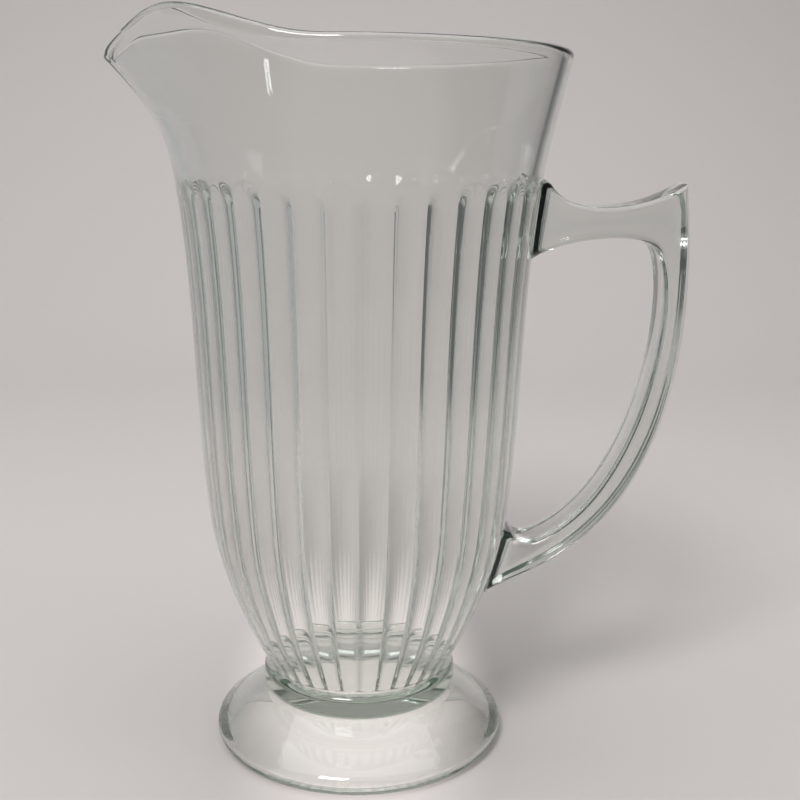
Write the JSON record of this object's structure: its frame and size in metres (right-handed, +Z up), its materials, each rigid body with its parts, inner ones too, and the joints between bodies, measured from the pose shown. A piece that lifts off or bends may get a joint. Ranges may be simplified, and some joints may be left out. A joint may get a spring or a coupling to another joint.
{
  "type": "beer pitcher",
  "caption": "Tall footed pitcher of clear pressed glass: bowl fluted inside by 36 ribs, plain band pulled into a pouring lip, neck ring, round foot and strap handle.",
  "frame": {"origin": "centre of the standing ring under the foot, on the bowl's axis", "axes": "+Z up along the bowl's axis, handle towards +X, pouring lip towards -X"},
  "size_m": [0.1905, 0.1364, 0.246],
  "materials": {
    "clear_glass": "fire-polished clear pressed glass"
  },
  "bodies": {
    "root": {"fluted_bowl": "clear_glass", "lip_band": "clear_glass", "neck_ring": "clear_glass", "foot": "clear_glass", "handle": "clear_glass", "upper_handle_pad": "clear_glass", "lower_handle_pad": "clear_glass"}
  },
  "joints": []
}
